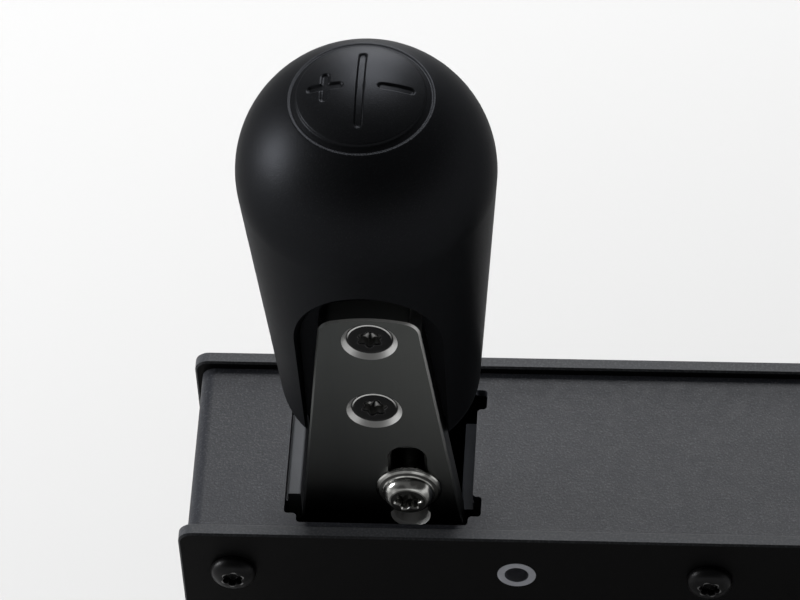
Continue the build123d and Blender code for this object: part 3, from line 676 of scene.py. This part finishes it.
# Star recess: fractions of its size, then of its lip, and where a wide head's extra ring lies
STAR_INNER = 0.36
STAR_FULLNESS = 0.8
RECESS_LIP = 0.06
RECESS_WALL = 0.985
RECESS_FLOOR = 0.90
RECESS_PIT = 0.12
PIT_DEPTH = 0.05
CHAMFER = 0.8
WIDE_HEAD = 3
LAND = 0.65

# Flanged button head that clamps the blade
CLAMP_THREAD = 6.0 * MM
CLAMP_LENGTH = 10.8 * MM
COLLAR = 13.6 * MM / 2
COLLAR_HEIGHT = 1.2 * MM
CLAMP_DOME = 10.4 * MM / 2
CLAMP_DOME_RISE = 2.6 * MM
CLAMP_FLAT_RADIUS = 3.3 * MM
CLAMP_GAP = 0.03 * MM


def star_radius(angle, size):
    """Edge of a six-lobed driver recess at an angle."""
    outer = size / 2
    inner = size * STAR_INNER
    wave = 0.5 + 0.5 * math.cos(6 * angle)
    return inner + (outer - inner) * wave ** STAR_FULLNESS


def screw_form(rings, size, depth, top):
    """Screw standing on its seat along +Z, with a star recess of a size and depth in its top.

    The rings are (radius, height) from the edge of the head's top down to the tip.
    """
    form = bmesh.new()
    loops = []

    def ring(radius_of, height):
        loop = []
        for step in range(SCREW_TURNS):
            angle = 2 * math.pi * step / SCREW_TURNS
            radius = radius_of(angle)
            loop.append(form.verts.new(
                (radius * math.cos(angle), radius * math.sin(angle), height)
            ))
        loops.append(loop)

    lip = RECESS_LIP * size
    first = rings[0][0]
    ring(lambda a: RECESS_PIT * size, top - depth - PIT_DEPTH * size)
    ring(lambda a: RECESS_FLOOR * star_radius(a, size), top - depth)
    ring(lambda a: RECESS_WALL * star_radius(a, size), top - lip)
    ring(lambda a: star_radius(a, size) + CHAMFER * lip, top)
    if first > size / 2 + WIDE_HEAD * lip:
        ring(lambda a: (1 - LAND) * star_radius(a, size) + LAND * first, top)
    for radius, height in rings:
        ring(lambda a, r=radius: r, height)
    bridge(form, loops)
    form.faces.new(list(reversed(loops[0])))
    form.faces.new(loops[-1])
    bmesh.ops.recalc_face_normals(form, faces=form.faces)
    return form


def dome(radius, height, flat, start, count=10):
    """Round head outline from its flat top down to its edge."""
    points = []
    for step in range(count + 1):
        angle = math.pi / 2 * step / count
        points.append((
            flat + (radius - flat) * math.sin(angle),
            start + (height - start) * math.cos(angle),
        ))
    return points


def button_rings(thread, length):
    """Button head with a small land at its edge, and a plain shank; also the head's height."""
    head = thread * 1.9 / 2
    rise = thread * 0.55
    edge = thread * 0.06
    outline = dome(head, rise, flat=thread * 0.44, start=thread * 0.12)
    outline += [(head, edge), (head - edge, 0.0), (thread / 2, 0.0), (thread / 2, -length)]
    return outline, rise


def countersunk_rings(thread, head, length):
    """Countersunk head with a softened rim."""
    rim = 0.07 * thread
    return [
        (head / 2 - 1.7 * rim, 0.0),
        (head / 2 - 0.9 * rim, -0.25 * rim),
        (head / 2, -1.2 * rim),
        (thread / 2, -(head - thread) / 2 - rim),
        (thread / 2, -length),
    ]


def clamp_rings():
    """Flanged button head: dome, thin collar and shank; also the head's height."""
    top = COLLAR_HEIGHT + CLAMP_DOME_RISE
    outline = dome(CLAMP_DOME, top, CLAMP_FLAT_RADIUS, start=COLLAR_HEIGHT + 0.2 * MM)
    outline += [
        (CLAMP_DOME + 0.25 * MM, COLLAR_HEIGHT + 0.05 * MM),
        (COLLAR - 0.7 * MM, COLLAR_HEIGHT - 0.12 * MM),
        (COLLAR - 0.2 * MM, COLLAR_HEIGHT - 0.35 * MM),
        (COLLAR, COLLAR_HEIGHT - 0.65 * MM),
        (COLLAR - 0.12 * MM, 0.0),
        (CLAMP_THREAD / 2, 0.0),
        (CLAMP_THREAD / 2, -CLAMP_LENGTH),
    ]
    return outline, top


def group(node, form, matrices, material, body):
    """Copies of one form at several places, joined into a piece that stands for a CAD node."""
    joined = bmesh.new()
    for matrix in matrices:
        data = bpy.data.meshes.new("part")
        form.to_mesh(data)
        data.transform(matrix)
        joined.from_mesh(data)
        bpy.data.meshes.remove(data)
    form.free()
    piece = mesh_object(node + "_detail", joined, material)
    shade_smooth(piece, SCREW_SHARP)
    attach(piece, body)
    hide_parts(node)


def placed(position, direction, turn):
    """Matrix that stands a screw at a place with its head towards a direction."""
    aim = Vector(direction).to_track_quat("Z", "Y").to_matrix().to_4x4()
    spin = Matrix.Rotation(math.radians(turn), 4, "Z")
    return Matrix.Translation(Vector(position)) @ aim @ spin


def solid_boxes(name):
    """Lowest and highest corner of each separate solid in a CAD node, by depth, length, height."""
    form = bmesh.new()
    form.from_mesh(nodes[name].data)
    bmesh.ops.remove_doubles(form, verts=form.verts, dist=WELD)
    seen = set()
    boxes = []
    for start in form.verts:
        if start in seen:
            continue
        stack = [start]
        seen.add(start)
        low = start.co.copy()
        high = start.co.copy()
        while stack:
            point = stack.pop()
            for k in range(3):
                low[k] = min(low[k], point.co[k])
                high[k] = max(high[k], point.co[k])
            for edge in point.link_edges:
                other = edge.other_vert(point)
                if other not in seen:
                    seen.add(other)
                    stack.append(other)
        boxes.append((low, high))
    form.free()
    return sorted(boxes, key=lambda box: tuple(round(box[0][k], 4) for k in (1, 0, 2)))


def side_screws(node, thread, length, turn):
    """Button screws through both side plates, heads outwards, each turned a little further."""
    rings, top = button_rings(thread, length)
    form = screw_form(rings, size=thread * 0.92, depth=thread * 0.3, top=top)
    matrices = []
    for index, (low, high) in enumerate(solid_boxes(node)):
        middle = (low + high) / 2
        outward = -1 if low.y < 0 else 1
        middle.y = -outward * CASE_FRONT
        matrices.append(placed(middle, (0, outward, 0), turn * (index + 1)))
    group(node, form, matrices, MATERIALS["dark_screws"], "housing")


def knob_screws(turn):
    """Countersunk screws in the blade, flush with its front."""
    rings = countersunk_rings(thread=5 * MM, head=9.8 * MM, length=13 * MM)
    form = screw_form(rings, size=5.0 * MM, depth=1.9 * MM, top=0.0)
    matrices = []
    for index, (low, high) in enumerate(solid_boxes("knob_screws")):
        middle = (low + high) / 2
        middle.y = low.y
        matrices.append(placed(middle, FORWARDS, turn * (index + 1)))
    group("knob_screws", form, matrices, KNOB_SCREW_FINISH, "handle")


def clamp_screw(turn):
    """Flanged screw that clamps the blade, seated on its front."""
    rings, top = clamp_rings()
    form = screw_form(rings, size=5.6 * MM, depth=2.2 * MM, top=top)
    low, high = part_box("clamp_screw")
    seat = ((low.x + high.x) / 2, BLADE_FRONT - CLAMP_GAP, (low.z + high.z) / 2)
    group("clamp_screw", form, [placed(seat, FORWARDS, turn)], CLAMP_FINISH, "lever")


def build_screws():
    side_screws("spacer_screws", thread=5 * MM, length=12 * MM, turn=23)
    side_screws("shaft_screws", thread=5 * MM, length=12 * MM, turn=37)
    side_screws("base_screws", thread=4 * MM, length=11 * MM, turn=17)
    knob_screws(turn=14)
    clamp_screw(turn=9)


# Room

# Shade of the far floor and the horizon, and that of the sky and the ground beyond them
PALE = 0.84
OVERHEAD = 0.12
HORIZON_END = 0.10
OVERHEAD_START = 0.26
FLOOR_HALF = 6.0
FLOOR_NEAR = 0.2
FLOOR_FAR = 0.85
LAMP_TARGET = (LEVER_X, 0.0, 0.17)


def build_world():
    """Dim surroundings with a pale band around the horizon, like the walls of a studio."""
    world = bpy.data.worlds.new("studio")
    bpy.context.scene.world = world
    world.use_nodes = True
    tree = world.node_tree
    background = tree.nodes["Background"]
    background.inputs["Color"].default_value = (1.0, 1.0, 1.0, 1.0)
    direction = tree.nodes.new("ShaderNodeTexCoord")
    parts = tree.nodes.new("ShaderNodeSeparateXYZ")
    size = tree.nodes.new("ShaderNodeMath")
    size.operation = "ABSOLUTE"
    band = tree.nodes.new("ShaderNodeMapRange")
    band.inputs["From Min"].default_value = HORIZON_END
    band.inputs["From Max"].default_value = OVERHEAD_START
    band.inputs["To Min"].default_value = PALE
    band.inputs["To Max"].default_value = OVERHEAD
    tree.links.new(direction.outputs["Generated"], parts.inputs["Vector"])
    tree.links.new(parts.outputs["Z"], size.inputs[0])
    tree.links.new(size.outputs["Value"], band.inputs["Value"])
    tree.links.new(band.outputs["Result"], background.inputs["Strength"])


def floor_finish():
    """Pale matte floor that keeps its shade beyond the reach of the lamps."""
    made = Shader("floor", FLOOR, 0.9)
    made.bsdf.inputs["Specular IOR Level"].default_value = 0.1
    distance = made.node("ShaderNodeVectorMath", operation="LENGTH")
    made.link(made.position, distance.inputs[0])
    far = made.ramp(distance.outputs["Value"], FLOOR_NEAR, FLOOR_FAR)
    rays = made.node("ShaderNodeLightPath")
    seen = made.math("MAXIMUM", rays.outputs["Is Camera Ray"], rays.outputs["Is Glossy Ray"])
    seen = made.math("MAXIMUM", seen, rays.outputs["Is Transmission Ray"])
    glow = made.node("ShaderNodeEmission", Color=(PALE, PALE, PALE, 1.0))
    mix = made.node("ShaderNodeMixShader")
    made.link(made.both(far, seen), mix.inputs["Fac"])
    made.link(made.bsdf.outputs["BSDF"], mix.inputs[1])
    made.link(glow.outputs["Emission"], mix.inputs[2])
    made.link(mix.outputs["Shader"], made.tree.nodes["Material Output"].inputs["Surface"])
    return made.material


def lamp(name, place, size, power):
    """Round soft lamp that looks at the lever."""
    data = bpy.data.lights.new(name, "AREA")
    data.shape = "DISK"
    data.size = size
    data.energy = power
    light = bpy.data.objects.new(name, data)
    light.location = place
    aim = Vector(LAMP_TARGET) - Vector(place)
    light.rotation_euler = aim.to_track_quat("-Z", "Y").to_euler()
    bpy.context.scene.collection.objects.link(light)


def build_room():
    """Plain pale floor and soft studio light, most of it from behind and above."""
    build_world()
    form = bmesh.new()
    bmesh.ops.create_grid(form, x_segments=2, y_segments=2, size=FLOOR_HALF)
    floor = mesh_object("floor", form, floor_finish())
    lamp("key", (0.0, 1.19, 1.22), size=0.8, power=27.0)
    lamp("back", (-0.05, 1.5, 0.40), size=0.8, power=28.0)
    lamp("left", (-1.08, 0.06, 0.38), size=0.42, power=11.5)


# Camera


def build_camera():
    """Fitted to the photograph, about the point where the lever's axis meets the cover."""
    azimuth = math.radians(6.11)
    elevation = math.radians(51.38)
    roll = math.radians(-3.78)
    distance = 1.094
    across = 2.825 * MM
    upwards = 31.607 * MM
    focal_pixels = 5227.0
    photo_width = 800
    back = Vector((
        math.sin(azimuth) * math.cos(elevation),
        -math.cos(azimuth) * math.cos(elevation),
        math.sin(elevation),
    ))
    right = Vector((0, 0, 1)).cross(back).normalized()
    up = back.cross(right)
    turned_right = math.cos(roll) * right + math.sin(roll) * up
    turned_up = -math.sin(roll) * right + math.cos(roll) * up
    foot = Vector((LEVER_X, 0.0, COVER_TOP))
    data = bpy.data.cameras.new("camera")
    data.sensor_fit = "HORIZONTAL"
    data.sensor_width = 36.0
    data.lens = focal_pixels / photo_width * data.sensor_width
    data.clip_end = 20.0
    camera = bpy.data.objects.new("camera", data)
    bpy.context.scene.collection.objects.link(camera)
    place = foot + distance * back + across * turned_right + upwards * turned_up
    turn = Matrix((turned_right, turned_up, back)).transposed()
    camera.matrix_world = Matrix.Translation(place) @ turn.to_4x4()
    bpy.context.scene.camera = camera


dress_nodes()
build_knob()
build_screws()
build_room()
build_camera()

scene = bpy.context.scene
scene.view_settings.view_transform = "Standard"
